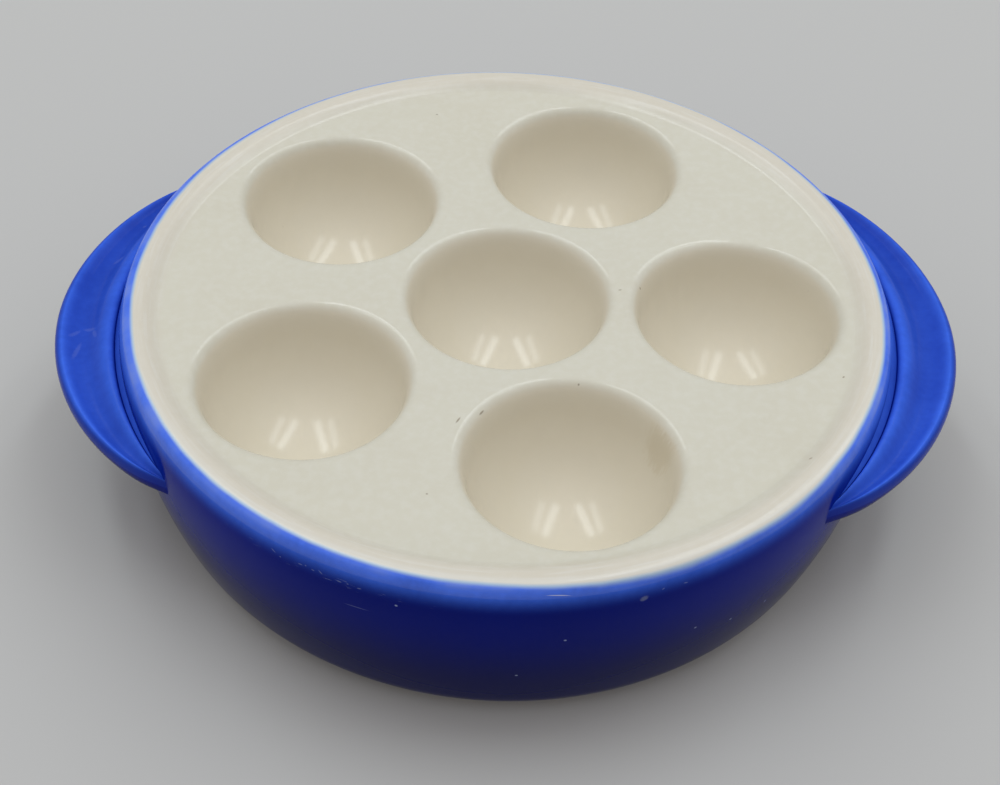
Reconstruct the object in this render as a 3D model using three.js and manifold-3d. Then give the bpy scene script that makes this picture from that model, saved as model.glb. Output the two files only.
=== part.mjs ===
// An escargot dish in glazed stoneware: a cream deck with six round wells, a blue wall and two blue ears.
// Millimetres, +Z up, the ears along X. The origin is on the table, under the middle well.
import * as THREE from 'three';
import { mergeVertices } from 'three/addons/utils/BufferGeometryUtils.js';
import Module from 'manifold-3d';

const wasm = await Module();
wasm.setup();

// Wells: one in the middle and a ring round it.
const WELL_RADIUS = 18.6; // hemisphere that a snail lies in
const LIP_RADIUS = 2; // rounding where a well opens through the deck
const RING_WELLS = 5;
const WELL_BRIDGE = 5.4; // clay left between the middle well and each well of the ring
const RING_TURN = -3.3; // degrees from the line through the ears to the first well of the ring

// Deck and the low rim round it.
const DECK_THICKNESS = 5;
const WELL_MARGIN = 0.6; // level deck between the ring's lips and the foot of the rim
const RIM_SLOPE = 3.8; // width of the slope from the deck up to the rim's crest
const RIM_RISE = 2.2; // crest above the deck
const RIM_ROLL = 1.4; // from the crest out to the line where the two glazes meet
const RIM_ROLL_DROP = 0.4; // that line below the crest
const SEAT_TAPER = 3; // how far the deck's edge slopes in below that line

// Cups that hang under the deck.
const CUP_FLOOR = 4.5;
const CUP_CLEARANCE = 13.3; // from the table to the cups

// Wall and foot.
const WALL_THICKNESS = 5;
const SHOULDER = 2.1; // belly of the wall beyond the line where the glazes meet
const BELLY_DROP = 8.6; // belly below that line
const DRAW_IN = 3.5; // from the belly in to the top of the bottom corner
const CORNER_RISE = 4.7;
const CORNER_RUN = 4.4;
const FOOT_HEIGHT = 2; // foot below the end of the corner
const FOOT_WIDTH = 5;
const FOOT_DEPTH = 5; // foot ring up inside the end of the corner

// Ears: an arc in plan, a scooped top and a rolled edge in section.
const EAR_REACH = 13.6; // beyond the wall's belly
const EAR_ARC = 47; // radius of the arc in plan
const EAR_EDGE = 4.4; // thickness of the rolled edge
const EAR_CREST_DROP = 6.7; // rolled edge's top below the line where the glazes meet
const EAR_SCOOP = 2.2; // pull of the scooped top below the rolled edge
const EAR_RISE = 1.8; // scooped top at the wall above the rolled edge
const EAR_ROOT = 2; // underside at the wall below the rolled edge's underside

const LUTE = 0.3; // joint of slip between two pieces of clay

const AROUND_DISH = 72;
const AROUND_WELL = 32;
const AROUND_EAR = 104;

const wellFloor = CUP_CLEARANCE + CUP_FLOOR;
const wellCentre = wellFloor + WELL_RADIUS;
const deckTop = wellCentre + LIP_RADIUS;
const deckUnder = deckTop - DECK_THICKNESS;
const crest = deckTop + RIM_RISE;
const glazeLine = crest - RIM_ROLL_DROP;
const belly = glazeLine - BELLY_DROP;

const pitch = 2 * WELL_RADIUS + WELL_BRIDGE;
const mouthRadius = WELL_RADIUS + LIP_RADIUS;
const deckRadius = pitch + mouthRadius + WELL_MARGIN;
const crestRadius = deckRadius + RIM_SLOPE;
const glazeRadius = crestRadius + RIM_ROLL;
const seatRadius = glazeRadius - SEAT_TAPER;
const bellyRadius = glazeRadius + SHOULDER;

const creamGlaze = new THREE.MeshStandardMaterial({ color: 0xd6d2c2, roughness: 0.14, metalness: 0 });
const blueGlaze = new THREE.MeshStandardMaterial({ color: 0x1b3fb4, roughness: 0.12, metalness: 0 });
const bareClay = new THREE.MeshStandardMaterial({ color: 0xc9b294, roughness: 0.85, metalness: 0 });

function point(radius, height) {
  return new THREE.Vector2(radius, height);
}

// Turns an outline, given as radius and height, about the vertical axis.
function revolve(outline, around) {
  return new THREE.LatheGeometry(outline, around).rotateX(Math.PI / 2);
}

function solidOf(geometry) {
  const bare = geometry.clone();
  bare.deleteAttribute('normal');
  bare.deleteAttribute('uv');
  const merged = mergeVertices(bare, 1e-4);
  const corners = merged.index.array;
  const kept = [];
  for (let i = 0; i < corners.length; i += 3) {
    const [a, b, c] = corners.slice(i, i + 3);
    if (a !== b && b !== c && c !== a) kept.push(a, b, c);
  }
  const vertProperties = new Float32Array(merged.getAttribute('position').array);
  return new wasm.Manifold(new wasm.Mesh({ numProp: 3, vertProperties, triVerts: new Uint32Array(kept) }));
}

function geometryOf(solid) {
  const mesh = solid.getMesh();
  const geometry = new THREE.BufferGeometry();
  geometry.setAttribute('position', new THREE.BufferAttribute(new Float32Array(mesh.vertProperties), 3));
  geometry.setIndex(new THREE.BufferAttribute(new Uint32Array(mesh.triVerts), 1));
  geometry.computeVertexNormals();
  return geometry;
}

function wellPlaces() {
  const places = [point(0, 0)];
  for (let i = 0; i < RING_WELLS; i += 1) {
    const angle = THREE.MathUtils.degToRad(RING_TURN) + (i * 2 * Math.PI) / RING_WELLS;
    places.push(point(pitch * Math.cos(angle), pitch * Math.sin(angle)));
  }
  return places;
}

// The hollow of one well, from its floor out through the rounded lip.
function wellHollow() {
  const bowl = new THREE.EllipseCurve(0, wellCentre, WELL_RADIUS, WELL_RADIUS, -Math.PI / 2, 0);
  const lip = new THREE.EllipseCurve(mouthRadius, wellCentre, LIP_RADIUS, LIP_RADIUS, Math.PI, Math.PI / 2, true);
  const above = crest + RIM_RISE;
  return revolve(
    [point(0, wellFloor), ...bowl.getPoints(7).slice(1), ...lip.getPoints(4).slice(1), point(mouthRadius, above), point(0, above)],
    AROUND_WELL,
  );
}

function deckGeometry() {
  const edge = glazeRadius - LUTE;
  const roll = new THREE.QuadraticBezierCurve(
    point(edge, glazeLine),
    point(edge - RIM_ROLL / 3, crest),
    point(crestRadius, crest),
  );
  const slope = new THREE.CubicBezierCurve(
    point(crestRadius, crest),
    point(crestRadius - RIM_SLOPE / 2, crest),
    point(deckRadius + RIM_SLOPE / 2, deckTop),
    point(deckRadius, deckTop),
  );
  const outline = [
    point(0, deckUnder),
    point(seatRadius - LUTE, deckUnder),
    ...roll.getPoints(3),
    ...slope.getPoints(5).slice(1),
    point(0, deckTop),
  ];
  let deck = solidOf(revolve(outline, AROUND_DISH));
  for (const place of wellPlaces()) {
    deck = deck.subtract(solidOf(wellHollow().translate(place.x, place.y, 0)));
  }
  return geometryOf(deck);
}

// A cup is thinnest at the deck, where its neighbours leave it half of the bridge.
function cupGeometry() {
  const top = deckUnder - LUTE;
  const outerRadius = WELL_RADIUS + (WELL_BRIDGE - LUTE) / 2;
  const outside = new THREE.EllipseCurve(0, top, outerRadius, top - CUP_CLEARANCE, -Math.PI / 2, 0);
  const start = -Math.asin((wellCentre - top) / WELL_RADIUS);
  const inside = new THREE.EllipseCurve(0, wellCentre, WELL_RADIUS, WELL_RADIUS, start, -Math.PI / 2, true);
  const outline = [
    point(0, CUP_CLEARANCE),
    ...outside.getPoints(6).slice(1),
    ...inside.getPoints(6).slice(0, -1),
    point(0, wellFloor),
  ];
  return revolve(outline, AROUND_WELL);
}

const wallBottom = FOOT_HEIGHT;
const cornerTop = wallBottom + CORNER_RISE;
const cornerRadius = bellyRadius - DRAW_IN;
const cornerEnd = cornerRadius - CORNER_RUN;
const footRadius = cornerEnd - LUTE;
const footBore = footRadius - FOOT_WIDTH;
const footTop = FOOT_HEIGHT + FOOT_DEPTH;

// The wall's outside from its bottom corner up to the line where the glazes meet.
function wallOutside() {
  const middle = (belly + cornerTop) / 2;
  const lean = DRAW_IN / (middle - cornerTop);
  const corner = new THREE.QuadraticBezierCurve(
    point(cornerEnd, wallBottom),
    point(cornerRadius - lean * CORNER_RISE, wallBottom),
    point(cornerRadius, cornerTop),
  );
  const side = new THREE.QuadraticBezierCurve(
    point(cornerRadius, cornerTop),
    point(bellyRadius, middle),
    point(bellyRadius, belly),
  );
  const shoulder = new THREE.QuadraticBezierCurve(
    point(bellyRadius, belly),
    point(bellyRadius, glazeLine - SHOULDER / 2),
    point(glazeRadius, glazeLine),
  );
  return [...corner.getPoints(4), ...side.getPoints(6).slice(1), ...shoulder.getPoints(5).slice(1)];
}

function wallGeometry() {
  const outside = wallOutside();
  const inside = outside
    .filter((p) => p.y > footTop && p.y < deckUnder - LUTE)
    .map((p) => point(Math.max(p.x - WALL_THICKNESS, cornerEnd), p.y))
    .reverse();
  const outline = [...outside, point(seatRadius, deckUnder), ...inside, point(cornerEnd, footTop), outside[0]];
  return revolve(outline, AROUND_DISH);
}

function footGeometry() {
  const bevel = FOOT_HEIGHT / 4;
  const outline = [
    point(footBore, bevel),
    point(footBore + bevel, 0),
    point(footRadius - bevel, 0),
    point(footRadius, bevel),
    point(footRadius, footTop),
    point(footBore, footTop),
    point(footBore, bevel),
  ];
  return revolve(outline, AROUND_DISH);
}

// The right ear: a disc turned about the middle of its arc, less all that lies within the wall.
function earGeometry() {
  const arcCentre = bellyRadius + EAR_REACH - EAR_ARC;
  const wallAt = bellyRadius - arcCentre;
  const edgeTop = glazeLine - EAR_CREST_DROP;
  const roll = EAR_EDGE / 2;
  const rollAt = EAR_ARC - roll;
  const scoopReach = (rollAt - wallAt) / 4;
  const edge = new THREE.EllipseCurve(rollAt, edgeTop - roll, roll, roll, -Math.PI / 2, Math.PI / 2);
  const scoop = new THREE.CubicBezierCurve(
    point(rollAt, edgeTop),
    point(rollAt - scoopReach, edgeTop - EAR_SCOOP),
    point(wallAt + 2 * scoopReach, edgeTop - EAR_SCOOP / 4),
    point(wallAt, edgeTop + EAR_RISE),
  );
  const outline = [
    point(0, edgeTop - EAR_EDGE - EAR_ROOT),
    point(wallAt, edgeTop - EAR_EDGE - EAR_ROOT),
    ...edge.getPoints(8),
    ...scoop.getPoints(7).slice(1),
    point(0, edgeTop + EAR_RISE),
  ];
  const within = wallOutside().map((p) => point(p.x + LUTE, p.y));
  const wall = solidOf(revolve([point(0, wallBottom), ...within, point(0, glazeLine)], AROUND_DISH));
  const disc = solidOf(revolve(outline, AROUND_EAR).translate(arcCentre, 0, 0));
  return geometryOf(disc.subtract(wall));
}

const dish = new THREE.Group();

function add(name, geometry, material, parent = dish) {
  const mesh = new THREE.Mesh(geometry, material);
  mesh.name = name;
  parent.add(mesh);
  return mesh;
}

add('well_deck', deckGeometry(), creamGlaze);
const cup = cupGeometry();
wellPlaces().forEach((place, i) => {
  add(i === 0 ? 'cup_middle' : `cup_${i}`, cup, creamGlaze).position.set(place.x, place.y, 0);
});
add('outer_wall', wallGeometry(), blueGlaze);
add('foot_ring', footGeometry(), bareClay);
const ear = earGeometry();
add('ear_right', ear, blueGlaze);
const otherSide = new THREE.Group();
otherSide.rotation.z = Math.PI;
dish.add(otherSide);
add('ear_left', ear, blueGlaze, otherSide);

export default dish;
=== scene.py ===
import math

import bmesh
import bpy
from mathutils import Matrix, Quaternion, Vector, noise
from mathutils.geometry import delaunay_2d_cdt, interpolate_bezier


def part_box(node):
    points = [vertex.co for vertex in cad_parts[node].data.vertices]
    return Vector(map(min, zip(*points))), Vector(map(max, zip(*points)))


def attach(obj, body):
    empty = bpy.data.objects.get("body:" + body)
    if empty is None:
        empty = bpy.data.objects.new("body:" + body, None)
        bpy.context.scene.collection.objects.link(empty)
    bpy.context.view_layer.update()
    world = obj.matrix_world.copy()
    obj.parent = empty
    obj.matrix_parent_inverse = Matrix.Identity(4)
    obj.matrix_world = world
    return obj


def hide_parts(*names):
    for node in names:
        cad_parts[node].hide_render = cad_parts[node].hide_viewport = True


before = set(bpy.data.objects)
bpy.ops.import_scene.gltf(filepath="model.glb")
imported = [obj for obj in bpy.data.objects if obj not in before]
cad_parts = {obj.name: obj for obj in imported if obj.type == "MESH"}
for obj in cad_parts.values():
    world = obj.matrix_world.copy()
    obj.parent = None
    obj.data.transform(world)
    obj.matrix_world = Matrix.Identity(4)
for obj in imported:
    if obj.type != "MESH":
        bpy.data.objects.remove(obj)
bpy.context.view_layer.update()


# The six wells and the cups below them, one in the middle and five in a ring. Each well is a round bowl pressed
# into the clay for one snail. Its wall leans out and rolls over into the deck as a soft lip, and the clay round
# it hangs below the deck as a thin cup.
MM = 0.001
well_radius = 18.6 * MM
well_depth = 20.6 * MM
bowl_radius = 17.8 * MM
wall_lean = math.radians(17)
wall_reach = 3.8 * MM
lip_reach = 3.2 * MM
mouth_radius = 20.8 * MM
cup_wall = 1.5 * MM
cup_fillet = 1.0 * MM
well_segments = 96
bowl_steps = 44
lip_steps = 32
fillet_steps = 6
cup_steps = 32
well_names = ["cup_middle", "cup_1", "cup_2", "cup_3", "cup_4", "cup_5"]
well_places = []
for name in well_names:
    low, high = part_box(name)
    well_places.append(Vector(((low.x + high.x) / 2, (low.y + high.y) / 2)))
ring_radius = well_places[1].length
ring_turn = math.atan2(well_places[1].y, well_places[1].x)
rim_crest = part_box("well_deck")[1].z
rim_rise = 2.2 * MM
deck_top = rim_crest - rim_rise
deck_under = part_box("well_deck")[0].z
cup_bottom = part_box("cup_middle")[0].z
cup_radius = well_radius + cup_wall
cup_top = deck_under - cup_fillet


def feed(tree, socket, value):
    if isinstance(value, bpy.types.NodeSocket):
        tree.links.new(value, socket)
    else:
        socket.default_value = value


def put(tree, kind, inputs=None, **settings):
    node = tree.nodes.new(kind)
    for name, value in settings.items():
        setattr(node, name, value)
    for key, value in (inputs or {}).items():
        feed(tree, node.inputs[key], value)
    return node


def reckon(tree, operation, *terms):
    return put(tree, "ShaderNodeMath", dict(enumerate(terms)), operation=operation).outputs[0]


def point_of(tree, across, up):
    return put(tree, "ShaderNodeCombineXYZ", {"X": across, "Y": up}).outputs[0]


def bend(tree, start, middle, end, steps):
    return put(tree, "GeometryNodeCurveQuadraticBezier", {
        "Resolution": steps, "Start": start, "Middle": middle, "End": end}).outputs[0]


# A tree's sizes are its named inputs, and everything in it is turned about the dish's own axis or a well's.
def sized_tree(name, sizes):
    tree = bpy.data.node_groups.new(name, "GeometryNodeTree")
    tree.interface.new_socket("Geometry", in_out="OUTPUT", socket_type="NodeSocketGeometry")
    for size in sizes:
        tree.interface.new_socket(size, in_out="INPUT", socket_type="NodeSocketFloat")
    given = tree.nodes.new("NodeGroupInput").outputs
    return tree, {size: given[size] for size in sizes}


# Turns curves drawn with radius along X and height along Y about the upright axis. Outward strokes face up.
def turned(tree, curves, segments):
    core = 1.0 * MM
    weld = 0.002 * MM
    outline = put(tree, "GeometryNodeJoinGeometry").inputs[0]
    for curve in curves:
        tree.links.new(curve, outline)
    upright = put(tree, "GeometryNodeTransform", {
        "Geometry": outline.node.outputs[0], "Translation": (-core, 0, 0), "Scale": (1, -1, 1)})
    path = put(tree, "GeometryNodeCurvePrimitiveCircle", {"Resolution": segments, "Radius": core})
    swept = put(tree, "GeometryNodeCurveToMesh", {
        "Curve": path.outputs["Curve"], "Profile Curve": upright.outputs[0]})
    return put(tree, "GeometryNodeMergeByDistance", {
        "Geometry": swept.outputs[0], "Distance": weld}).outputs[0]


def finish_tree(tree, geometry, material):
    real = put(tree, "GeometryNodeRealizeInstances", {"Geometry": geometry})
    coated = put(tree, "GeometryNodeSetMaterial", {"Geometry": real.outputs[0], "Material": material})
    put(tree, "NodeGroupOutput", {"Geometry": coated.outputs[0]})


def grown(tree, sizes):
    maker = bpy.data.objects.new(tree.name, bpy.data.meshes.new(tree.name))
    bpy.context.scene.collection.objects.link(maker)
    modifier = maker.modifiers.new(tree.name, "NODES")
    modifier.node_group = tree
    for socket in tree.interface.items_tree:
        if socket.in_out == "INPUT":
            modifier[socket.identifier] = sizes[socket.name]
    settled = maker.evaluated_get(bpy.context.evaluated_depsgraph_get())
    mesh = bpy.data.meshes.new_from_object(settled)
    maker.modifiers.remove(modifier)
    bpy.data.objects.remove(maker)
    return mesh


well_sizes = {
    "Bowl Radius": bowl_radius,
    "Bowl Centre Height": deck_top - well_depth + bowl_radius,
    "Wall Reach": wall_reach,
    "Lip Reach": lip_reach,
    "Mouth Radius": mouth_radius,
    "Deck Height": deck_top,
    "Cup Radius": cup_radius,
    "Cup Top": cup_top,
    "Cup Depth": cup_top - cup_bottom,
    "Cup Fillet": cup_fillet,
    "Ring Radius": ring_radius,
    "Ring Turn": ring_turn,
}
well_tree, size = sized_tree("wells", well_sizes)
bowl = put(well_tree, "GeometryNodeCurveArc", {
    "Resolution": bowl_steps, "Radius": size["Bowl Radius"],
    "Start Angle": -math.pi / 2, "Sweep Angle": math.pi / 2 - wall_lean})
bowl_set = put(well_tree, "GeometryNodeTransform", {
    "Geometry": bowl.outputs[0], "Translation": point_of(well_tree, 0, size["Bowl Centre Height"])})
wall_out = reckon(well_tree, "MULTIPLY", size["Bowl Radius"], math.cos(wall_lean))
wall_low = reckon(
    well_tree, "MULTIPLY_ADD", size["Bowl Radius"], -math.sin(wall_lean), size["Bowl Centre Height"])
bow_out = reckon(well_tree, "MULTIPLY_ADD", size["Wall Reach"], math.sin(wall_lean), wall_out)
bow_up = reckon(well_tree, "MULTIPLY_ADD", size["Wall Reach"], math.cos(wall_lean), wall_low)
lip_in = reckon(well_tree, "SUBTRACT", size["Mouth Radius"], size["Lip Reach"])
lip = put(well_tree, "GeometryNodeCurvePrimitiveBezierSegment", {
    "Resolution": lip_steps,
    "Start": point_of(well_tree, wall_out, wall_low),
    "Start Handle": point_of(well_tree, bow_out, bow_up),
    "End Handle": point_of(well_tree, lip_in, size["Deck Height"]),
    "End": point_of(well_tree, size["Mouth Radius"], size["Deck Height"])}, mode="POSITION")
fillet_out = reckon(well_tree, "ADD", size["Cup Radius"], size["Cup Fillet"])
fillet_up = reckon(well_tree, "ADD", size["Cup Top"], size["Cup Fillet"])
fillet = bend(
    well_tree, point_of(well_tree, fillet_out, fillet_up), point_of(well_tree, size["Cup Radius"], fillet_up),
    point_of(well_tree, size["Cup Radius"], size["Cup Top"]), fillet_steps)
cup = put(well_tree, "GeometryNodeCurveArc", {
    "Resolution": cup_steps, "Radius": 1.0, "Start Angle": 0.0, "Sweep Angle": -math.pi / 2})
cup_set = put(well_tree, "GeometryNodeTransform", {
    "Geometry": cup.outputs[0],
    "Scale": point_of(well_tree, size["Cup Radius"], size["Cup Depth"]),
    "Translation": point_of(well_tree, 0, size["Cup Top"])})
well_curves = [bowl_set.outputs[0], lip.outputs[0], fillet, cup_set.outputs[0]]
ring = put(well_tree, "GeometryNodeMeshCircle", {
    "Vertices": len(well_places) - 1, "Radius": size["Ring Radius"]})
ring_set = put(well_tree, "GeometryNodeTransform", {
    "Geometry": ring.outputs[0],
    "Rotation": put(well_tree, "ShaderNodeCombineXYZ", {"Z": size["Ring Turn"]}).outputs[0]})
ring_points = put(well_tree, "GeometryNodeMeshToPoints", {"Mesh": ring_set.outputs[0]})
middle_point = put(well_tree, "GeometryNodePoints", {"Count": 1})
all_points = put(well_tree, "GeometryNodeJoinGeometry")
well_tree.links.new(ring_points.outputs[0], all_points.inputs[0])
well_tree.links.new(middle_point.outputs[0], all_points.inputs[0])
six_wells = put(well_tree, "GeometryNodeInstanceOnPoints", {
    "Points": all_points.outputs[0], "Instance": turned(well_tree, well_curves, well_segments)})


# The cream glaze: a milky gloss over pale clay, a little warmer where it lies thick. It has the odd iron speck,
# and ends at the rim in a soft line where the blue was brushed up to it.
def linear(red, green, blue):
    shares = [c / 255 for c in (red, green, blue)]
    return tuple(c / 12.92 if c <= 0.04045 else ((c + 0.055) / 1.055) ** 2.4 for c in shares) + (1.0,)


def mixed(tree, share, one, other):
    node = put(tree, "ShaderNodeMix", {"Factor": share}, data_type="RGBA", clamp_factor=True)
    feed(tree, node.inputs[6], one)
    feed(tree, node.inputs[7], other)
    return node.outputs[2]


def tinted(tree, tone, colour, where, strength):
    return mixed(tree, reckon(tree, "MULTIPLY", where, strength), tone, colour)


def eased(tree, value, low, high):
    node = put(tree, "ShaderNodeMapRange", {"Value": value, "From Min": low, "From Max": high},
               interpolation_type="SMOOTHSTEP")
    return node.outputs[0]


def faded(tree, value, low, high):
    return reckon(tree, "SUBTRACT", 1.0, eased(tree, value, low, high))


def cloud(tree, place, size, detail=2.0):
    node = put(tree, "ShaderNodeTexNoise", {"Vector": place, "Scale": 1 / size, "Detail": detail})
    return node.outputs[0]


def reckon_vector(tree, operation, *terms):
    result = put(tree, "ShaderNodeVectorMath", dict(enumerate(terms)), operation=operation).outputs
    return result["Value" if operation in ("DOT_PRODUCT", "LENGTH") else "Vector"]


# Where a point lies as seen from above.
def in_plan(tree, place):
    return reckon_vector(tree, "MULTIPLY", place, (1, 1, 0))


# The cobalt glaze is bright where it is thin, on edges and along the rim, and near navy where it ran and
# pooled low down. It is thinnest next to the cream. Its colour also holds painted light: it lightens towards
# the top as painted light from above, darkens low down and at the front as painted shade, and beside the
# cream it carries streaks of pale violet painted highlight.
pooled_and_shaded_blue = linear(0, 8, 78)
body_blue = linear(0, 28, 154)
thin_and_lit_blue = linear(72, 122, 255)
reflection_blue = linear(112, 144, 244)
pooled_height = 12 * MM
body_height = 33 * MM
lit_top_height = 34.2 * MM
thin_height = 40.1 * MM
reflection_height = 39.2 * MM
streak_size = 7 * MM
streak_stretch = (1, 1, 0.3)
streak_sway = 3 * MM
patch_size = 22 * MM
patch_strength = 0.3
front_shade_strength = 0.5
lit_top_sharpness = 1.6
fleck_size = 1.3 * MM


def cobalt(tree, place, thin):
    up = put(tree, "ShaderNodeSeparateXYZ", {"Vector": place}).outputs["Z"]
    facing = reckon_vector(tree, "NORMALIZE", in_plan(tree, place))
    to_front = reckon_vector(tree, "DOT_PRODUCT", facing, (0, -1, 0))
    streak = cloud(tree, reckon_vector(tree, "MULTIPLY", place, streak_stretch), streak_size, 4.0)
    level = reckon(tree, "ADD", up, reckon(tree, "MULTIPLY_ADD", streak, streak_sway, -streak_sway / 2))
    # Darker low down: glaze that ran and pooled, and painted shade.
    coat = mixed(tree, eased(tree, level, pooled_height, body_height), pooled_and_shaded_blue, body_blue)
    coat = tinted(tree, coat, pooled_and_shaded_blue, cloud(tree, place, patch_size), patch_strength)
    # Darker at the front: painted shade.
    coat = tinted(tree, coat, pooled_and_shaded_blue, eased(tree, to_front, 0.6, 1.0), front_shade_strength)
    coat = tinted(tree, coat, pooled_and_shaded_blue, thin, -1.0)
    # Lighter towards the top: thin glaze, and painted light from above.
    edge = reckon(tree, "POWER", eased(tree, up, lit_top_height, thin_height), lit_top_sharpness)
    flecks = reckon(tree, "MULTIPLY_ADD", cloud(tree, place, fleck_size, 3.0), 0.3, 0.55)
    uneven = reckon(tree, "MULTIPLY_ADD", streak, 0.6, flecks)
    coat = tinted(tree, coat, thin_and_lit_blue, reckon(tree, "MAXIMUM", edge, thin), uneven)
    # Pale violet streaks beside the cream: painted highlight.
    reflection_band = eased(tree, up, reflection_height, thin_height)
    return tinted(tree, coat, reflection_blue, reflection_band, eased(tree, streak, 0.35, 0.8))


# A mark on a surface that lies flat in the first two coordinates of its sheet: its place, half its length and
# width, its heading in degrees, and how ragged its edge is.
def mark(tree, sheet, where, long, short, heading=0.0, ragged=0.3):
    ripple = put(tree, "ShaderNodeTexNoise", {"Vector": sheet, "Scale": 2 / short, "Detail": 1.0})
    fray = (ragged * short, ragged * short, 0)
    frayed = reckon_vector(tree, "MULTIPLY_ADD", ripple.outputs["Color"], fray, sheet)
    own = put(tree, "ShaderNodeMapping", {
        "Vector": frayed, "Location": (where[0], where[1], 0), "Rotation": (0, 0, math.radians(heading)),
        "Scale": (long, short, 1)}, vector_type="TEXTURE").outputs[0]
    return faded(tree, reckon_vector(tree, "LENGTH", own), 0.4, 1.1)


# Either glaze sets with a faint orange peel.
peel_size = 3.5 * MM
peel_strength = 0.06
peel_depth = 0.05 * MM


def glaze_skin(tree, place, colour, roughness, sheen):
    peel = put(tree, "ShaderNodeBump", {
        "Height": cloud(tree, place, peel_size, 1.0), "Strength": peel_strength, "Distance": peel_depth})
    shader = put(tree, "ShaderNodeBsdfPrincipled", {
        "Base Color": colour, "Roughness": roughness, "Specular IOR Level": sheen, "Normal": peel.outputs[0]})
    put(tree, "ShaderNodeOutputMaterial", {"Surface": shader.outputs[0]})


def blank_material(name):
    material = bpy.data.materials.new(name)
    material.use_nodes = True
    material.node_tree.nodes.clear()
    return material, material.node_tree


cream_body = linear(224, 222, 208)
cream_thick = linear(219, 215, 198)
cream_pooled_and_lit = linear(229, 221, 203)
cream_thin = linear(232, 231, 222)
cream_cloudy = linear(212, 206, 188)
speck_brown = linear(120, 98, 70)
thick_size = 30 * MM
speck_spacing = 6.5 * MM
speck_rarity = 0.86
speck_strength = 0.5
pool_begins = deck_top - 0.1 * MM
pool_full = deck_top - 1.6 * MM
pool_strength = 0.8
cream_glaze, cream = blank_material("cream_glaze")
place = put(cream, "ShaderNodeTexCoord").outputs["Object"]
plan = in_plan(cream, place)
apart = put(cream, "ShaderNodeSeparateXYZ", {"Vector": place}).outputs
from_axis = reckon_vector(cream, "LENGTH", plan)
tone = mixed(cream, cloud(cream, place, thick_size, 3.0), cream_body, cream_thick)
for colour, cloud_size, detail, begins, full, strength in (
        (cream_thin, 1.6 * MM, 4.0, 0.35, 0.75, 0.3), (cream_cloudy, 7 * MM, 5.0, 0.45, 0.75, 0.16)):
    clouded = eased(cream, cloud(cream, place, cloud_size, detail), begins, full)
    tone = tinted(cream, tone, colour, clouded, strength)
grain = put(cream, "ShaderNodeTexVoronoi", {"Vector": place, "Scale": 1 / speck_spacing, "Randomness": 1.0})
lot = put(cream, "ShaderNodeSeparateColor", {"Color": grain.outputs["Color"]}).outputs[0]
few = reckon(cream, "GREATER_THAN", lot, speck_rarity)
dot = faded(cream, grain.outputs["Distance"], 0.012, 0.045)
tone = tinted(cream, tone, speck_brown, reckon(cream, "MULTIPLY", few, dot), speck_strength)
# Inside the wells the cream turns warmer where it pooled, and lighter as painted bounce light.
tone = tinted(cream, tone, cream_pooled_and_lit, faded(cream, apart["Z"], pool_full, pool_begins), pool_strength)

# Old butter left a stain and a few dark nicks round the front well, and grit made the bigger specks on the
# deck. A nick's place, half its length and width and its heading are in millimetres and degrees.
stain_brown = linear(190, 168, 122)
stain_strength = 0.2
nick_strength = 0.6
front_well = well_places[5]
stain = mark(cream, plan, front_well + Vector((17.0 * MM, 8.2 * MM)), 5.0 * MM, 1.2 * MM, 117, 1.6)
tone = tinted(cream, tone, stain_brown, stain, stain_strength)
well_nicks = [(-19.2, 8.8, 0.95, 0.2, 62), (-15.2, 11.4, 0.8, 0.15, 55), (1.9, 18.9, 0.22, 0.18, 0)]
deck_nicks = [
    (21.1, 2.1, 0.4, 0.16, 10), (25.1, 4.1, 0.26, 0.16, 80), (-15.1, 55.2, 0.3, 0.2, 0),
    (51.2, -40.5, 0.4, 0.25, 30), (59.9, -20.0, 0.35, 0.2, 45), (-13.1, -49.3, 0.25, 0.18, 0),
]
for middle, nicks in ((front_well, well_nicks), (Vector((0, 0)), deck_nicks)):
    for x, y, long, short, heading in nicks:
        nick = mark(cream, plan, middle + Vector((x * MM, y * MM)), long * MM, short * MM, heading)
        tone = tinted(cream, tone, speck_brown, nick, nick_strength)

# The cream is thin on the rim, where the clay blushes through and brush strokes show. A white band on the
# front of the crest is painted highlight. The line between the two glazes wavers, and at the front right the
# cream ran on over the crest.
# Each band begins and is full at a distance out from that line.
rim_blush = linear(229, 219, 206)
crest_white_and_highlight = linear(238, 238, 234)
blue_tint = linear(176, 203, 232)
glaze_radius = 69.0 * MM
glaze_out_to_right = 0.2 * MM
waver_size = 16 * MM
waver_reach = 0.7 * MM
run_bearing = math.radians(-58)
run_length = 0.7 * MM
run_middle = math.radians(8)
run_side = math.radians(38)
rim_band = (-6 * MM, -2.5 * MM)
highlight_band = (-1.9 * MM, -0.7 * MM)
tint_band = (-0.55 * MM, 0.05 * MM)
blue_band = (-0.15 * MM, 0.45 * MM)
blush_strength = 0.4
strokes_round = 6.0
stroke_width = 0.6 * MM
stroke_strength = 0.3
highlight_strength = 0.35
glint_line_strength = 0.6
side = reckon(cream, "DIVIDE", apart["X"], from_axis)
to_front = reckon(cream, "DIVIDE", apart["Y"], reckon(cream, "MULTIPLY", from_axis, -1.0))
turn = reckon(cream, "ARCTAN2", apart["Y"], apart["X"])
off_run = reckon(cream, "ABSOLUTE", reckon(cream, "SUBTRACT", turn, run_bearing))
line_at = reckon(cream, "MULTIPLY_ADD", side, glaze_out_to_right, glaze_radius)
line_at = reckon(cream, "MULTIPLY_ADD", faded(cream, off_run, run_middle, run_side), run_length, line_at)
waver = reckon(cream, "MULTIPLY_ADD", cloud(cream, place, waver_size, 3.0), waver_reach, -waver_reach / 2)
past_line = reckon(cream, "ADD", reckon(cream, "SUBTRACT", from_axis, line_at), waver)
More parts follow.
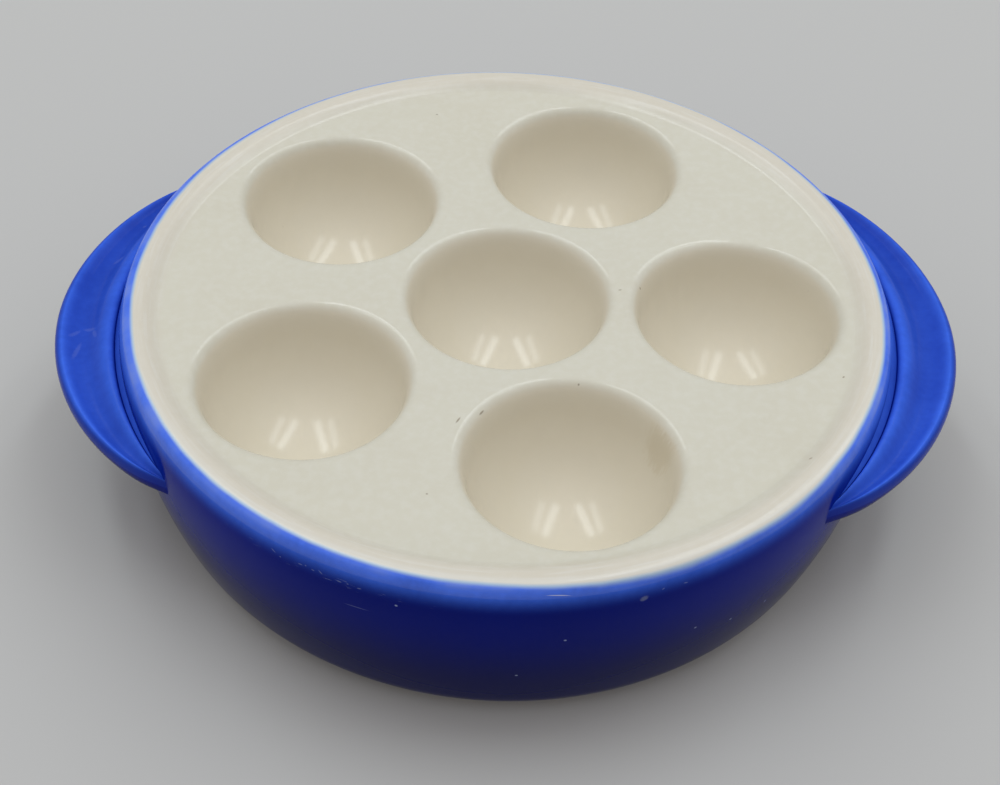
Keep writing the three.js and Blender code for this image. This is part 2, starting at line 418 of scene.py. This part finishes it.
on_rim = eased(cream, past_line, *rim_band)
tone = tinted(cream, tone, rim_blush, on_rim, blush_strength)
along_stroke = reckon(cream, "MULTIPLY", turn, strokes_round)
across_stroke = reckon(cream, "DIVIDE", from_axis, stroke_width)
strokes = eased(cream, cloud(cream, point_of(cream, along_stroke, across_stroke), 1.0), 0.45, 0.75)
tone = tinted(cream, tone, crest_white_and_highlight, on_rim, reckon(cream, "MULTIPLY", strokes, stroke_strength))
# The white band on the front of the crest is painted highlight.
front_highlight = reckon(cream, "MULTIPLY", eased(cream, to_front, 0.1, 0.8), highlight_strength)
tone = tinted(cream, tone, crest_white_and_highlight, eased(cream, past_line, *highlight_band), front_highlight)
tone = mixed(cream, eased(cream, past_line, *tint_band), tone, blue_tint)
# Past the line the cream piece takes the cobalt glaze with its painted light, painted shade and painted
# highlight.
tone = mixed(cream, eased(cream, past_line, *blue_band), tone, cobalt(cream, place, 0.0))
# A short white line on the front shoulder is painted highlight.
glint_line = mark(cream, plan, Vector((8.2 * MM, -69.65 * MM)), 2.2 * MM, 0.035 * MM, 5)
tone = tinted(cream, tone, crest_white_and_highlight, glint_line, glint_line_strength)

cream_sheen = 0.5
cream_dull_size = 12 * MM
rim_dulling = 0.08
gloss = reckon(cream, "MULTIPLY_ADD", cloud(cream, place, cream_dull_size, 3.0), 0.12, 0.10)
gloss = reckon(cream, "MULTIPLY_ADD", on_rim, rim_dulling, gloss)
glaze_skin(cream, place, tone, gloss, cream_sheen)

finish_tree(well_tree, six_wells.outputs[0], cream_glaze)
wells = grown(well_tree, well_sizes)


# The cream deck: a level plate with a low rim that slopes up from it, rolls over its crest and runs on down the
# outside until it meets the wall. It was cast with the wells, so it is one skin with them.
around_dish = 192
deck_radius = 63.8 * MM
crest_radius = 67.8 * MM
rim_from = 63.0 * MM
rim_to = 66.8 * MM
rim_steps = 24
roll_drop = 0.4 * MM
roll_out = 1.8 * MM
roll_fall = 0.65 * MM
roll_bow = 0.27 * MM
roll_steps = 10
fall_steps = 8
belly_drop = 8.6 * MM
seam_share = 0.6
seam_ledge = 1.0 * MM
seat_radius = 66.0 * MM
lute = 0.3 * MM
collar = 0.15 * MM
top_spacing = 0.8 * MM
under_spacing = 3.0 * MM
deck_weld = 0.01 * MM
crisp_angle = 50
glaze_line = rim_crest - roll_drop
belly_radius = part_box("outer_wall")[1].x
belly = glaze_line - belly_drop
shoulder = belly_radius - glaze_radius


def stroke(start, middle, end, steps):
    points = []
    for i in range(steps + 1):
        t = i / steps
        points.append(start.lerp(middle, t).lerp(middle.lerp(end, t), t))
    return points


shoulder_low = Vector((belly_radius, belly))
shoulder_bow = Vector((belly_radius, glaze_line - shoulder / 2))
shoulder_high = Vector((glaze_radius, glaze_line))
bow_below = shoulder_low.lerp(shoulder_bow, seam_share)
bow_above = shoulder_bow.lerp(shoulder_high, seam_share)
seam = bow_below.lerp(bow_above, seam_share)
crest = Vector((crest_radius, rim_crest))
rim_outline = []
for i in range(rim_steps + 1):
    rim_outline.append(Vector((deck_radius + (crest_radius - deck_radius) * i / rim_steps, deck_top)))
roll_end = crest + Vector((roll_out, -roll_fall))
roll_outline = stroke(crest, crest + Vector((roll_out - roll_fall, 0)), roll_end, roll_steps)
roll_outline += stroke(roll_end, roll_end + Vector((roll_bow, -roll_bow)), seam, fall_steps)[1:]
roll_outline += [Vector((seam.x - seam_ledge, seam.y - lute)), Vector((seat_radius - lute, deck_under))]


def circle_points(centre, radius, height, count):
    turns = [2 * math.pi * i / count for i in range(count)]
    return [Vector((centre.x + radius * math.cos(a), centre.y + radius * math.sin(a), height)) for a in turns]


# A level sheet inside the outer circle and outside the holes, with a mesh fine enough to take the kiln's warp.
# Its points stand in staggered rows, and a narrow collar keeps them off its edges.
def level_sheet(height, outer_radius, hole_radius, spacing):
    row_height = 0.866
    same_point = 1e-7
    middle = Vector((0, 0))
    loops = [circle_points(middle, outer_radius, height, around_dish),
             circle_points(middle, outer_radius - collar, height, around_dish)]
    for centre in well_places:
        loops.append(circle_points(centre, hole_radius, height, well_segments))
        loops.append(circle_points(centre, hole_radius + collar, height, well_segments))
    points, edges = [], []
    for loop in loops:
        first = len(points)
        points += [p.to_2d() for p in loop]
        edges += [(first + i, first + (i + 1) % len(loop)) for i in range(len(loop))]
    rows = int(outer_radius / spacing) + 1
    for j in range(-rows, rows + 1):
        for i in range(-rows, rows + 1):
            p = Vector((spacing * (i + 0.5 * (j % 2)), spacing * j * row_height))
            clear = min((p - c).length for c in well_places) > hole_radius + collar + spacing / 2
            if clear and p.length < outer_radius - collar - spacing / 2:
                points.append(p)
    found, _, faces, _, _, _ = delaunay_2d_cdt(points, edges, [], 0, same_point)
    inside = hole_radius * math.cos(math.pi / well_segments)
    kept = []
    for face in faces:
        heart = sum((found[i] for i in face), Vector((0, 0))) / len(face)
        if all((heart - c).length > inside for c in well_places):
            kept.append(face)
    return [Vector((p.x, p.y, height)) for p in found], kept


def add_sheet(bm, points, faces, face_up):
    verts = [bm.verts.new(p) for p in points]
    for face in faces:
        made = bm.faces.new([verts[i] for i in face])
        made.normal_update()
        if (made.normal.z > 0) != face_up:
            made.normal_flip()


def add_rings(bm, outline, count):
    rings = []
    for p in outline:
        rings.append([bm.verts.new(q) for q in circle_points(Vector((0, 0)), p.x, p.y, count)])
    for inner, outer in zip(rings, rings[1:]):
        for i in range(count):
            n = (i + 1) % count
            bm.faces.new((inner[i], outer[i], outer[n], inner[n]))


# The deck is dished a little towards its middle, and the rim rises out of it in one soft sweep. The lips of the
# wells next to the rim are taken along.
dish_from = 47 * MM
dish_rise = 0.55 * MM


def soft_step(value, low, high):
    share = min(max((value - low) / (high - low), 0), 1)
    return share * share * (3 - 2 * share)


def raise_rim(bm):
    for v in bm.verts:
        radius = v.co.xy.length
        near_top = min(max((v.co.z - deck_under) / (deck_top - deck_under), 0), 1)
        dished = dish_rise * soft_step(radius, dish_from, rim_from)
        v.co.z += near_top * (dished + (rim_rise - dish_rise) * soft_step(radius, rim_from, rim_to))


# Clay settles in the kiln: the body drew out a little towards the ears, and level faces are never quite level.
side_swell = 0.7 * MM
swell_from = 52 * MM
wave_height = 0.09 * MM
wave_length = 34 * MM


def fired(p):
    radius = math.hypot(p.x, p.y)
    pull = side_swell * soft_step(radius, swell_from, glaze_radius)
    toward_ear = p.x / max(radius, MM)
    wave = wave_height * noise.noise(Vector((p.x, p.y, 0)) / wave_length) * min(p.z / deck_top, 1)
    return Vector((p.x + pull * toward_ear * abs(toward_ear), p.y, p.z + min(wave, 0)))


def plain_piece(name, bm, material, sharp_angle):
    for v in bm.verts:
        v.co = fired(v.co)
    for face in bm.faces:
        face.smooth = True
    mesh = bpy.data.meshes.new(name)
    bm.to_mesh(mesh)
    bm.free()
    mesh.set_sharp_from_angle(angle=math.radians(sharp_angle))
    mesh.materials.append(material)
    piece = bpy.data.objects.new(name, mesh)
    bpy.context.scene.collection.objects.link(piece)
    return piece


deck_mesh = bmesh.new()
deck_mesh.from_mesh(wells)
top_sheet = level_sheet(deck_top, deck_radius, mouth_radius, top_spacing)
under_sheet = level_sheet(deck_under, seat_radius - lute, cup_radius + cup_fillet, under_spacing)
add_sheet(deck_mesh, *top_sheet, True)
add_sheet(deck_mesh, *under_sheet, False)
add_rings(deck_mesh, rim_outline, around_dish)
raise_rim(deck_mesh)
add_rings(deck_mesh, roll_outline, around_dish)
bmesh.ops.remove_doubles(deck_mesh, verts=deck_mesh.verts, dist=deck_weld)
cream_deck = plain_piece("cream_deck", deck_mesh, cream_glaze, crisp_angle)
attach(cream_deck, "root")
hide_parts("well_deck", *well_names)


# The wall: a turned skirt of the same clay, fullest just below the rim and drawn in to a rounded bottom corner.
# The cobalt glaze was brushed on it in one coat, and has a few pinholes and scuffs from use.
wall_thickness = 5 * MM
draw_in = 3.5 * MM
corner_rise = 4.7 * MM
corner_run = 4.4 * MM
shoulder_steps = 20
side_steps = 44
corner_steps = 18
inside_steps = 12
wall_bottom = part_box("outer_wall")[0].z
foot_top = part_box("foot_ring")[1].z
corner_top = wall_bottom + corner_rise
side_middle = (belly + corner_top) / 2
lean = draw_in / (side_middle - corner_top)
wall_sizes = {
    "Seam Radius": seam.x,
    "Seam Height": seam.y,
    "Shoulder Bow": bow_below.y,
    "Belly Radius": belly_radius,
    "Belly Height": belly,
    "Side Bow": side_middle,
    "Corner Radius": belly_radius - draw_in,
    "Corner Top": corner_top,
    "Corner Bow": belly_radius - draw_in - lean * corner_rise,
    "Corner End": belly_radius - draw_in - corner_run,
    "Bottom": wall_bottom,
    "Foot Top": foot_top,
    "Inside Radius": belly_radius - wall_thickness,
    "Seat Radius": seat_radius,
    "Deck Underside": deck_under,
}
wall_tree, size = sized_tree("turned_wall", wall_sizes)


def straight(tree, start, end):
    return put(tree, "GeometryNodeCurvePrimitiveLine", {"Start": start, "End": end}).outputs[0]


at_seam = point_of(wall_tree, size["Seam Radius"], size["Seam Height"])
at_belly = point_of(wall_tree, size["Belly Radius"], size["Belly Height"])
at_corner = point_of(wall_tree, size["Corner Radius"], size["Corner Top"])
at_end = point_of(wall_tree, size["Corner End"], size["Bottom"])
at_step = point_of(wall_tree, size["Corner End"], size["Foot Top"])
at_inside = point_of(wall_tree, size["Inside Radius"], size["Belly Height"])
at_seat = point_of(wall_tree, size["Seat Radius"], size["Deck Underside"])
by_shoulder = point_of(wall_tree, size["Belly Radius"], size["Shoulder Bow"])
by_side = point_of(wall_tree, size["Belly Radius"], size["Side Bow"])
by_corner = point_of(wall_tree, size["Corner Bow"], size["Bottom"])
by_inside = point_of(wall_tree, size["Inside Radius"], size["Side Bow"])
wall_curves = [
    bend(wall_tree, at_seam, by_shoulder, at_belly, shoulder_steps),
    bend(wall_tree, at_belly, by_side, at_corner, side_steps),
    bend(wall_tree, at_corner, by_corner, at_end, corner_steps),
    straight(wall_tree, at_end, at_step),
    bend(wall_tree, at_step, by_inside, at_inside, inside_steps),
    straight(wall_tree, at_inside, at_seat),
    straight(wall_tree, at_seat, at_seam),
]

blue_glaze, blue = blank_material("blue_glaze")
place = put(blue, "ShaderNodeTexCoord").outputs["Object"]
# The ears' thin-glaze value, which also carries their painted highlight and painted shade.
thin_and_lit = put(blue, "ShaderNodeAttribute", attribute_name="glaze_thin_and_lit").outputs["Fac"]
tone = cobalt(blue, place, thin_and_lit)

# Marks on the wall lie on the wall unrolled: the way round from the right ear in degrees, and the height in
# millimetres. Fine scratches run along the line where other dishes knocked against its fullest part.
pale_scuff_and_glint = linear(176, 190, 226)
scratch_long = 2.2 * MM
scratch_short = 0.16 * MM
scratch_heading = math.radians(4)
scratch_strength = 0.3
worn_size = 5 * MM
apart = put(blue, "ShaderNodeSeparateXYZ", {"Vector": place}).outputs
turn = reckon(blue, "ARCTAN2", apart["Y"], apart["X"])
unrolled = point_of(blue, reckon(blue, "MULTIPLY", turn, belly_radius), apart["Z"])


def on_wall(bearing, height):
    return math.radians(bearing) * belly_radius, height * MM


streaky = put(blue, "ShaderNodeMapping", {
    "Vector": unrolled, "Rotation": (0, 0, scratch_heading), "Scale": (1 / scratch_long, 1 / scratch_short, 1)})
scratch = eased(blue, cloud(blue, streaky.outputs[0], 1.0, 1.0), 0.64, 0.74)
knock_line = mark(blue, unrolled, on_wall(-112, 36.2), 28 * MM, 1.3 * MM)
worn_patch = eased(blue, cloud(blue, place, worn_size, 2.0), 0.46, 0.62)
scuffed = reckon(blue, "MULTIPLY", reckon(blue, "MULTIPLY", scratch, worn_patch), knock_line)
tone = tinted(blue, tone, pale_scuff_and_glint, scuffed, scratch_strength)

# Along the same line are short scuffs, each with its bearing, height, half length and heading. One long scratch
# lies below them, pinholes are scattered over the front, and one chip shows grey clay.
chip_grey = linear(150, 158, 176)
scuff_width = 0.13 * MM
scuff_strength = 0.28
long_scratch_strength = 0.18
pinhole_strength = 0.6
chip_strength = 0.35
scuffs = [
    (-121.7, 36.5, 0.6, -30), (-120.6, 35.9, 0.2, 0), (-117.5, 36.4, 0.5, 0), (-116.7, 36.6, 0.2, 0),
    (-115.6, 36.3, 0.35, -10), (-114.5, 36.5, 0.55, -38), (-111.8, 36.0, 0.5, -4), (-110.6, 36.1, 0.22, 0),
    (-109.0, 35.9, 0.45, 8), (-69.3, 36.7, 0.3, 25), (-66.1, 36.5, 0.45, -8), (-50.6, 13.0, 0.3, 30),
]
for bearing, height, half, heading in scuffs:
    scuff = mark(blue, unrolled, on_wall(bearing, height), half * MM, scuff_width, heading, 0.6)
    tone = tinted(blue, tone, pale_scuff_and_glint, scuff, scuff_strength)
long_scratch = mark(blue, unrolled, on_wall(-109.5, 31.0), 2.4 * MM, 0.12 * MM)
tone = tinted(blue, tone, pale_scuff_and_glint, long_scratch, long_scratch_strength)
pinholes = [(-104, 34.2), (-82, 27.9), (-63, 22.0), (-56.5, 18.7), (-49.5, 16.9), (-88, 17.0)]
for bearing, height in pinholes:
    pinhole = mark(blue, unrolled, on_wall(bearing, height), 0.3 * MM, 0.24 * MM)
    tone = tinted(blue, tone, pale_scuff_and_glint, pinhole, pinhole_strength)
chip = mark(blue, unrolled, on_wall(-71.8, 35.8), 0.85 * MM, 0.6 * MM, 20, 0.7)
tone = tinted(blue, tone, chip_grey, chip, chip_strength)

# A pale curl and two smears on the scoop of the left ear are painted reflection. The figures are as
# for the deck's nicks.
ear_glint_strength = 0.08
ear_glints = [
    (-77.6, -4.9, 1.5, 0.5, -12), (-76.3, -6.6, 1.5, 0.45, -66), (-80.2, -6.0, 1.6, 0.5, 52),
    (-79.0, -10.5, 2.8, 0.5, 82), (-75.4, 14.6, 1.4, 0.7, 30), (-72.4, 25.4, 0.5, 0.4, 40),
]
plan = in_plan(blue, place)
for x, y, long, short, heading in ear_glints:
    ear_glint = mark(blue, plan, Vector((x * MM, y * MM)), long * MM, short * MM, heading, 0.8)
    tone = tinted(blue, tone, pale_scuff_and_glint, ear_glint, ear_glint_strength)

blue_sheen = 0.05
blue_dull_size = 10 * MM
scuff_dulling = 0.3
gloss = reckon(blue, "MULTIPLY_ADD", cloud(blue, place, blue_dull_size, 4.0), 0.16, 0.08)
gloss = reckon(blue, "MULTIPLY_ADD", scuffed, scuff_dulling, gloss)
glaze_skin(blue, place, tone, gloss, blue_sheen)

finish_tree(wall_tree, turned(wall_tree, wall_curves, around_dish), blue_glaze)
wall_mesh = bmesh.new()
wall_mesh.from_mesh(grown(wall_tree, wall_sizes))
blue_wall = plain_piece("blue_wall", wall_mesh, blue_glaze, crisp_angle)
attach(blue_wall, "root")
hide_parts("outer_wall")


# The foot ring: bare buff clay wiped clean of glaze, so that the dish did not stick to the kiln shelf. It is
# set inside the wall's bottom corner, and its edges were softened with a sponge.
foot_width = 5 * MM
foot_edge = 0.7 * MM
foot_edge_steps = 6
foot_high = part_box("foot_ring")[1]
foot_sizes = {
    "Outside": foot_high.x,
    "Inside": foot_high.x - foot_width,
    "Top": foot_high.z,
    "Edge": foot_edge,
}
foot_tree, size = sized_tree("foot", foot_sizes)
out_by = reckon(foot_tree, "SUBTRACT", size["Outside"], size["Edge"])
in_by = reckon(foot_tree, "ADD", size["Inside"], size["Edge"])
outer_top = point_of(foot_tree, size["Outside"], size["Top"])
outer_low = point_of(foot_tree, size["Outside"], size["Edge"])
base_out = point_of(foot_tree, out_by, 0.0)
base_in = point_of(foot_tree, in_by, 0.0)
inner_low = point_of(foot_tree, size["Inside"], size["Edge"])
inner_top = point_of(foot_tree, size["Inside"], size["Top"])
foot_curves = [
    straight(foot_tree, outer_top, outer_low),
    bend(foot_tree, outer_low, point_of(foot_tree, size["Outside"], 0.0), base_out, foot_edge_steps),
    straight(foot_tree, base_out, base_in),
    bend(foot_tree, base_in, point_of(foot_tree, size["Inside"], 0.0), inner_low, foot_edge_steps),
    straight(foot_tree, inner_low, inner_top),
    straight(foot_tree, inner_top, outer_top),
]
clay_pale = linear(206, 184, 152)
clay_dark = linear(170, 142, 108)
clay_soil = linear(112, 96, 80)
clay_patch_size = 5 * MM
grit_size = 0.5 * MM
grit_depth = 0.1 * MM
grit_relief = 0.4
soil_strength = 0.5
bare_clay, clay = blank_material("bare_clay")
place = put(clay, "ShaderNodeTexCoord").outputs["Object"]
tone = mixed(clay, cloud(clay, place, clay_patch_size, 6.0), clay_pale, clay_dark)
grit = cloud(clay, place, grit_size, 2.0)
tone = tinted(clay, tone, clay_soil, eased(clay, grit, 0.55, 0.75), soil_strength)
rough_face = put(clay, "ShaderNodeBump", {"Height": grit, "Strength": grit_relief, "Distance": grit_depth})
shader = put(clay, "ShaderNodeBsdfPrincipled", {
    "Base Color": tone, "Roughness": reckon(clay, "MULTIPLY_ADD", grit, 0.2, 0.7),
    "Normal": rough_face.outputs[0]})
put(clay, "ShaderNodeOutputMaterial", {"Surface": shader.outputs[0]})

finish_tree(foot_tree, turned(foot_tree, foot_curves, around_dish), bare_clay)
foot_mesh = bmesh.new()
foot_mesh.from_mesh(grown(foot_tree, foot_sizes))
foot_ring = plain_piece("bare_foot", foot_mesh, bare_clay, crisp_angle)
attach(foot_ring, "root")
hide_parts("foot_ring")


# The ears: two crescents pressed in a mould and luted to the wall just below the rim. The top is scooped for
# the fingers between a soft ridge beside the joint and a rolled outer edge, where the blue glaze ran thin. The
# ridge and the edge also carry painted highlight, and the crease and the underside painted shade over pooled
# glaze.
joint_radius = 71.0 * MM
full_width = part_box("ear_right")[1].x - side_swell - joint_radius
ear_fullness = 1.85
ear_bluntness = 0.7
ear_growth = 0.6
ear_bury = 0.5 * MM
least_width = 0.2 * MM
ear_stations = 112
ear_steps = 10
ear_crisp_angle = 60
flank_drop = 2.0 * MM
crease_drop = 6.3 * MM
ridge_drop = 5.7 * MM
scoop_drop = 8.2 * MM
edge_drop = 7.0 * MM
end_drop = 8.3 * MM
edge_half = 2.3 * MM
end_share = 0.8
taper_width = 4.5 * MM
flank_in = 0.3 * MM
flank_lap = 0.45 * MM
flank_bury = 0.6 * MM
crease_out = 1.1 * MM
crease_in = 0.2 * MM
ridge_at = 0.19
scoop_at = 0.60
edge_at = 0.88
under_at = 0.78
under_fall = 0.3 * MM
root_in = 0.5 * MM
root_fall = 3.0 * MM
root_bury = 1.0 * MM
# Glaze thinness along each span, with painted highlight on the ridge and edge and painted shade in the crease
# and underneath.
thin_and_lit_at = [(0.5, 0.45), (-0.35, 0.75), (0.75, 0.38), (0.38, 0.74), (0.74, 0.15), (0.15, -0.8), (-0.8, -0.8)]


# One slice of an ear from the wall's shoulder out over the rolled edge and back below: distance out, height and
# how thin the glaze lies, below zero where it pooled. That last value also holds painted light: painted
# highlight on the ridge and edge, painted shade in the crease and underneath. At the ears' ends the ridge,
# scoop and edge run together.
# Each span is a curve between two of those places, with its two handles.
def ear_slice(width):
    k = min(width / full_width, 1) ** ear_growth
    w = max(width, least_width)
    half = edge_half * (end_share + (1 - end_share) * soft_step(width, 0, taper_width))
    sunk = -ear_bury * (1 - k) ** 3

    def at(out, drop):
        return Vector((sunk + out, glaze_line - (end_drop + (drop - end_drop) * k)))

    def flat(out):
        return Vector((out, 0))

    def level(up):
        return Vector((0, up))

    flank = at(-flank_in - flank_lap * k, flank_drop)
    crease = at(crease_out * k - crease_in * (1 - k), crease_drop)
    ridge = at(ridge_at * w, ridge_drop)
    scoop = at(scoop_at * w, scoop_drop)
    edge = at(edge_at * w, edge_drop)
    tip = at(w, edge_drop) - level(half)
    under = at(under_at * w, edge_drop) - level(2 * half + under_fall * k)
    root = at(-root_in, edge_drop) - level(2 * half + root_fall * k)
    flank_hollow = flank.lerp(crease, 0.35) + flat(0.1 * MM * k)
    crease_hollow = crease + Vector((-0.4 * MM, 1.2 * MM)) * k
    root_hollow = root + Vector((0.12 * w + 0.5 * MM, 0.4 * MM))
    spans = [
        (flank, flank_hollow, crease_hollow, crease),
        (crease, crease.lerp(ridge, 0.3), ridge - flat(0.06 * w), ridge),
        (ridge, ridge + flat(0.16 * w), scoop - flat(0.2 * w), scoop),
        (scoop, scoop + flat(0.15 * w), edge - flat(0.09 * w), edge),
        (edge, edge + flat(0.07 * w), tip + level(0.55 * half), tip),
        (tip, tip - level(0.55 * half), under + flat(0.12 * w), under),
        (under, under - flat(0.35 * w), root_hollow, root),
    ]
    rises_late = spans[3]
    slice_points = []
    for span, (thin_from, thin_to) in zip(spans, thin_and_lit_at):
        for i, p in enumerate(interpolate_bezier(*span, ear_steps + 1)[:-1]):
            t = i / ear_steps
            gone = t ** 3 if span is rises_late else 1 - (1 - t) ** 3
            slice_points.append((p.x, p.y, thin_from + (thin_to - thin_from) * gone))
    slice_points.append((root.x, root.y, 0.0))
    slice_points.append((root.x - root_bury, root.y, 0.0))
    slice_points.append((flank.x - flank_bury, crease.y, 0.0))
    return slice_points


# The ends of an ear are faired into the wall with a wet finger. Towards its front its glaze is painted
# lighter as painted reflection, and it lies more evenly at its ends.
ear_fairing = 2.8 * MM
faired_width = math.hypot(full_width, ear_fairing) - ear_fairing
front_sheen = 0.2
thin_enough = 0.3
end_coat = 0.5


def ear_piece(name, facing, half_span, settle):
    bm = bmesh.new()
    thin_layer = bm.verts.layers.float.new("glaze_thin_and_lit")
    slices = []
    for s in range(ear_stations + 1):
        share = math.sin((s / ear_stations - 0.5) * math.pi)
        plain_width = full_width * max(1 - abs(share) ** ear_fullness, 0) ** ear_bluntness
        width = (math.hypot(plain_width, ear_fairing) - ear_fairing) * full_width / faired_width
        bearing = math.radians(facing + half_span * share)
        toward_front = -math.sin(bearing)
        coat_kept = end_coat + (1 - end_coat) * soft_step(width, 0, taper_width)
        around = []
        for out, height, thin in ear_slice(width):
            radius = joint_radius + out
            v = bm.verts.new((radius * math.cos(bearing), radius * math.sin(bearing), height + settle))
            # Lighter towards the front of the ear: painted reflection.
            v[thin_layer] = coat_kept * (thin + (front_sheen * toward_front if thin > thin_enough else 0))
            around.append(v)
        slices.append(around)
    count = len(slices[0])
    for one, two in zip(slices, slices[1:]):
        for i in range(count):
            n = (i + 1) % count
            bm.faces.new((one[i], one[n], two[n], two[i]))
    bm.faces.new(slices[0][::-1])
    bm.faces.new(slices[-1])
    bmesh.ops.recalc_face_normals(bm, faces=bm.faces)
    ear = plain_piece(name, bm, blue_glaze, ear_crisp_angle)
    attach(ear, "root")
    return ear


ear_right = ear_piece("blue_ear_right", facing=0.0, half_span=41.0, settle=0.5 * MM)
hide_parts("ear_right")
ear_left = ear_piece("blue_ear_left", facing=179.3, half_span=37.3, settle=-1.0 * MM)
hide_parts("ear_left")


# The studio: a pale floor of matt paper under a soft sky, with long soft boxes overhead. The camera stands
# where the photograph was taken from.
floor_half = 6.0
floor_grey = linear(200, 200, 199)
floor_roughness = 0.8
floor_corners = [(x * floor_half, y * floor_half, 0) for x, y in ((-1, -1), (1, -1), (1, 1), (-1, 1))]
floor_mesh = bpy.data.meshes.new("floor")
floor_mesh.from_pydata(floor_corners, [], [(0, 1, 2, 3)])
floor = bpy.data.objects.new("floor", floor_mesh)
bpy.context.scene.collection.objects.link(floor)
floor_paint, paper = blank_material("floor_paper")
shader = put(paper, "ShaderNodeBsdfPrincipled", {"Base Color": floor_grey, "Roughness": floor_roughness})
put(paper, "ShaderNodeOutputMaterial", {"Surface": shader.outputs[0]})
floor_mesh.materials.append(floor_paint)

# The soft boxes are a little cooler than the sky, as daylight lamps are. Each pair spreads towards the back.
daylight = (0.9, 0.98, 1.0)
strip_width = 0.14
strip_height = 1.04
strip_front = -0.1
strip_back = 0.85


def soft_box(name, place, turn, length, width, glow):
    lamp = bpy.data.lights.new(name, "AREA")
    lamp.shape = "RECTANGLE"
    lamp.size = length
    lamp.size_y = width
    lamp.energy = glow * math.pi * length * width
    lamp.color = daylight
    box = bpy.data.objects.new(name, lamp)
    box.location = place
    box.rotation_mode = "QUATERNION"
    box.rotation_quaternion = turn
    bpy.context.scene.collection.objects.link(box)


for pair, front_x, back_x, glow in (("strip", 0.2, 0.5, 3.8), ("outer", 0.5, 0.74, 2.5)):
    for side, sign in (("left", -1), ("right", 1)):
        near = Vector((sign * front_x, strip_front, strip_height))
        far = Vector((sign * back_x, strip_back, strip_height))
        along = far - near
        turn = Quaternion((0, 0, 1), math.atan2(along.y, along.x))
        soft_box(f"{pair}_{side}", (near + far) / 2, turn, along.length, strip_width, glow)

# The sky is brightest overhead and a little brighter at the sides than in front and behind.
room_light = (1.0, 0.975, 0.97, 1.0)
sky_top = Vector((0, -0.05, 1)).normalized()
sky_focus = 4.0
top_strength = 0.74
side_strength = 0.2
least_strength = 0.3
world = bpy.data.worlds.new("studio")
world.use_nodes = True
sky = world.node_tree
background = sky.nodes["Background"].inputs
ray = put(sky, "ShaderNodeTexCoord").outputs["Generated"]
toward_top = reckon_vector(sky, "DOT_PRODUCT", ray, sky_top)
lobe = reckon(sky, "POWER", reckon(sky, "MAXIMUM", toward_top, 0.0), sky_focus)
sideways = put(sky, "ShaderNodeSeparateXYZ", {"Vector": ray}).outputs["X"]
from_sides = reckon(
    sky, "MULTIPLY_ADD", reckon(sky, "MULTIPLY", sideways, sideways), side_strength, least_strength)
feed(sky, background["Strength"], reckon(sky, "MULTIPLY_ADD", lobe, top_strength, from_sides))
feed(sky, background["Color"], room_light)
bpy.context.scene.world = world
bpy.context.scene.view_settings.view_transform = "Standard"

camera_distance = 293.46 * MM
camera_height_angle = math.radians(41.98)
camera_bearing = math.radians(-91.5)
camera_aim = Vector((-1.295 * MM, -27.308 * MM, glaze_line))
camera_roll = math.radians(2.432)
focal_pixels = 1577.3
image_width = 1000
sensor_width = 36.0
nearest_seen = 10 * MM
lens = bpy.data.cameras.new("camera")
lens.sensor_fit = "HORIZONTAL"
lens.sensor_width = sensor_width
lens.lens = focal_pixels * sensor_width / image_width
lens.clip_start = nearest_seen
camera = bpy.data.objects.new("camera", lens)
camera.location = Vector((
    camera_distance * math.cos(camera_height_angle) * math.cos(camera_bearing),
    camera_distance * math.cos(camera_height_angle) * math.sin(camera_bearing),
    camera_distance * math.sin(camera_height_angle) + glaze_line))
camera.rotation_mode = "QUATERNION"
look = (camera_aim - camera.location).to_track_quat("-Z", "Y")
camera.rotation_quaternion = look @ Quaternion((0, 0, 1), camera_roll)
bpy.context.scene.collection.objects.link(camera)
bpy.context.scene.camera = camera
